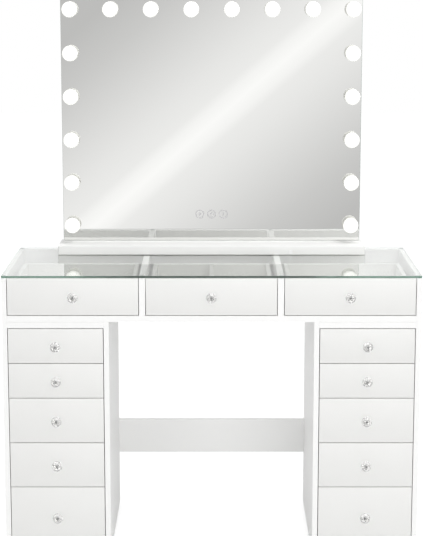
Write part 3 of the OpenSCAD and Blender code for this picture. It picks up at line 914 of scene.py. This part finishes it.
def makePort():
    low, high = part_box("charging_port")
    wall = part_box("mirror_base")[0].y
    body = addBlock("charging_port_body", low, (high.x, wall, high.z))
    editMode(body)
    pick("EDGE", runsAlong(1))
    bpy.ops.mesh.bevel(offset=portLook["corner"], segments=4)
    objectMode()
    step = Vector((portLook["flange"], 0, portLook["flange"]))
    stem = addBlock("stem", low + step + Vector((0, portLook["stemBack"], 0)), high - step)
    applyModifier(body, "BOOLEAN", operation="UNION", object=stem, solver="EXACT")
    remove([stem])
    rim = Vector((portLook["rim"], 0, portLook["rim"]))
    mouth = Vector((0, portLook["mouth"], 0))
    frontTop = Vector((high.x, low.y, high.z))
    cutAway(body, addBlock("mouth", low + rim - mouth, frontTop - rim + mouth))
    gap = rim + Vector((portLook["tongueGap"], 0, portLook["tongueGap"]))
    back = Vector((0, portLook["tongueBack"], 0))
    tongue = addBlock("tongue", low + gap + back, frontTop - gap + 1.5 * mouth)
    applyModifier(body, "BOOLEAN", operation="UNION", object=tongue, solver="EXACT")
    remove([tongue])
    softenEdges(body, portLook["ease"], segments=1)
    seat(body, "station", "charging_port", "white_plastic", portAbs)


makePort()
makeBase()


# feet and fasteners: CAD shapes with their edges eased; the driver and the sensors stay as
# they are, in their own plastics
footEase, fastenerEase = 1.2 * mm, 0.15 * mm
seat(softenEdges(copyNode("feet", "foot_glides"), footEase, segments=3), "station", "feet",
     "grey_plastic", greyPe)
seat(softenEdges(copyNode("fasteners", "screws_and_bolts"), fastenerEase), "station", "fasteners",
     "screw_steel", zincScrew)
for node, mat in (("lamp_driver", whiteAbs), ("touch_sensors", greyPe)):
    nodes[node].data.materials.clear()
    nodes[node].data.materials.append(mat)
print("base, feet and fasteners made")


# studio: pale floor, white surroundings, soft lamps and a reflector for the mirror; the floor
# glows by floorLift where it is seen, and by floorMirrored in the mirror, which keeps shadows
stageLook = {"floor": "#D8D8D8", "floorSize": 30, "floorLift": 0.6, "floorMirrored": 0.3,
             "ambient": 0.62, "reflectorRadius": 5.35, "reflectorHeight": 4.0,
             "reflectorSpan": 150, "lampsAimAt": (0, 0, 0.8)}


def makeFloor():
    bpy.ops.object.select_all(action="DESELECT")
    bpy.ops.mesh.primitive_plane_add(size=stageLook["floorSize"])
    floor = named(bpy.context.object, "studio_floor")
    mat = newMaterial("studioFloorPale")
    ray = addNode(mat, "ShaderNodeLightPath")
    seen = addNode(mat, "ShaderNodeMath", {0: ray.outputs["Is Camera Ray"],
                                           1: ray.outputs["Is Transmission Ray"]}, operation="MAXIMUM")
    mirrored = addNode(mat, "ShaderNodeMath", {0: ray.outputs["Is Glossy Ray"],
                                               1: stageLook["floorMirrored"]}, operation="MULTIPLY")
    lift = addNode(mat, "ShaderNodeMath", {0: seen.outputs["Value"], 1: stageLook["floorLift"],
                                           2: mirrored.outputs["Value"]}, operation="MULTIPLY_ADD")
    glow = addNode(mat, "ShaderNodeEmission", {"Color": (1, 1, 1, 1),
                                               "Strength": lift.outputs["Value"]})
    matt = addNode(mat, "ShaderNodeBsdfDiffuse", {"Color": hexColor(stageLook["floor"])})
    both = addNode(mat, "ShaderNodeAddShader", {0: matt.outputs["BSDF"], 1: glow.outputs["Emission"]})
    addNode(mat, "ShaderNodeOutputMaterial", {"Surface": both.outputs["Shader"]})
    floor.data.materials.append(mat)


def makeWorld():
    world = bpy.data.worlds.new("studio")
    scene.world = world
    world.use_nodes = True
    world.node_tree.nodes.clear()
    ray = addNode(world, "ShaderNodeLightPath")
    direct = addNode(world, "ShaderNodeMath", {0: ray.outputs["Is Camera Ray"],
                                               1: ray.outputs["Is Glossy Ray"]}, operation="MAXIMUM")
    seen = addNode(world, "ShaderNodeMath", {0: direct.outputs["Value"],
                                             1: ray.outputs["Is Transmission Ray"]},
                   operation="MAXIMUM")
    level = addNode(world, "ShaderNodeMapRange", {"Value": seen.outputs["Value"],
                                                  "To Min": stageLook["ambient"], "To Max": 1.0})
    sky = addNode(world, "ShaderNodeBackground", {"Color": (1, 1, 1, 1),
                                                  "Strength": level.outputs["Result"]})
    addNode(world, "ShaderNodeOutputWorld", {"Surface": sky.outputs["Background"]})


# what the mirror sees: a grey wall with one soft white band from lower left to upper right;
# the stops are metres away from the band's middle line
reflectorLook = {"slope": (-0.655, 0.756), "bandAt": 0.547, "repeat": 3.2, "glow": 1.15,
                 "stops": ((0.0, "#FAFAFA"), (0.07, "#F4F4F4"), (0.12, "#EBEBEB"), (0.25, "#E6E6E6"),
                           (0.42, "#DDDDDD"), (0.75, "#C9C9C9"), (1.0, "#BDBDBD"))}


def makeReflector():
    radius, height = stageLook["reflectorRadius"], stageLook["reflectorHeight"]
    bpy.ops.object.select_all(action="DESELECT")
    bpy.ops.mesh.primitive_cylinder_add(vertices=144, radius=radius, depth=height,
                                        end_fill_type="NOTHING", location=(0, 0, height / 2))
    bpy.ops.object.transform_apply()
    wall = named(bpy.context.object, "studio_reflector")
    edge = -radius * cos(radians(stageLook["reflectorSpan"] / 2))
    editMode(wall)
    pick("FACE", lambda f: f.calc_center_median().y > edge)
    bpy.ops.mesh.delete(type="FACE")
    objectMode()
    mat = newMaterial("studioReflector")
    place = addNode(mat, "ShaderNodeTexCoord").outputs["Object"]
    across = addNode(mat, "ShaderNodeVectorMath", {0: place, 1: (reflectorLook["slope"][0], 0,
                                                                reflectorLook["slope"][1])},
                     operation="DOT_PRODUCT")
    away = addNode(mat, "ShaderNodeMath", {0: across.outputs["Value"], 1: reflectorLook["bandAt"]},
                   operation="SUBTRACT")
    folded = addNode(mat, "ShaderNodeMath", {0: away.outputs["Value"], 1: reflectorLook["repeat"] / 2},
                     operation="PINGPONG")
    shade = addNode(mat, "ShaderNodeValToRGB", {"Fac": folded.outputs["Value"]})
    ramp = shade.color_ramp
    while len(ramp.elements) < len(reflectorLook["stops"]):
        ramp.elements.new(0.5)
    for element, (at, color) in zip(ramp.elements, reflectorLook["stops"]):
        element.position = at
        element.color = hexColor(color)
    glow = addNode(mat, "ShaderNodeEmission", {"Color": shade.outputs["Color"],
                                               "Strength": reflectorLook["glow"]})
    addNode(mat, "ShaderNodeOutputMaterial", {"Surface": glow.outputs["Emission"]})
    wall.data.materials.append(mat)
    wall.visible_camera = wall.visible_diffuse = False
    wall.visible_transmission = wall.visible_shadow = False


# softboxes: each one's place and size in metres, and its power in watts
softboxes = {"key": {"at": (1.4, -4.7, 2.2), "size": 2.4, "power": 62},
             "fill": {"at": (-2.4, -3.8, 1.6), "size": 2.6, "power": 22},
             "top": {"at": (1.2, -0.6, 3.6), "size": 1.2, "power": 42},
             "back": {"at": (-2.2, 4.6, 2.4), "size": 2.4, "power": 30}}


def makeLights():
    for name, box in softboxes.items():
        lamp = bpy.data.objects.new("softbox_" + name, bpy.data.lights.new("softbox_" + name, "AREA"))
        scene.collection.objects.link(lamp)
        lamp.data.shape = "SQUARE"
        lamp.data.size = box["size"]
        lamp.data.energy = box["power"]
        lamp.location = box["at"]
        aim = Vector(stageLook["lampsAimAt"]) - lamp.location
        lamp.rotation_euler = aim.to_track_quat("-Z", "Y").to_euler()
        lamp.visible_glossy = lamp.visible_transmission = False


makeFloor()
makeWorld()
makeReflector()
makeLights()
print("studio made")
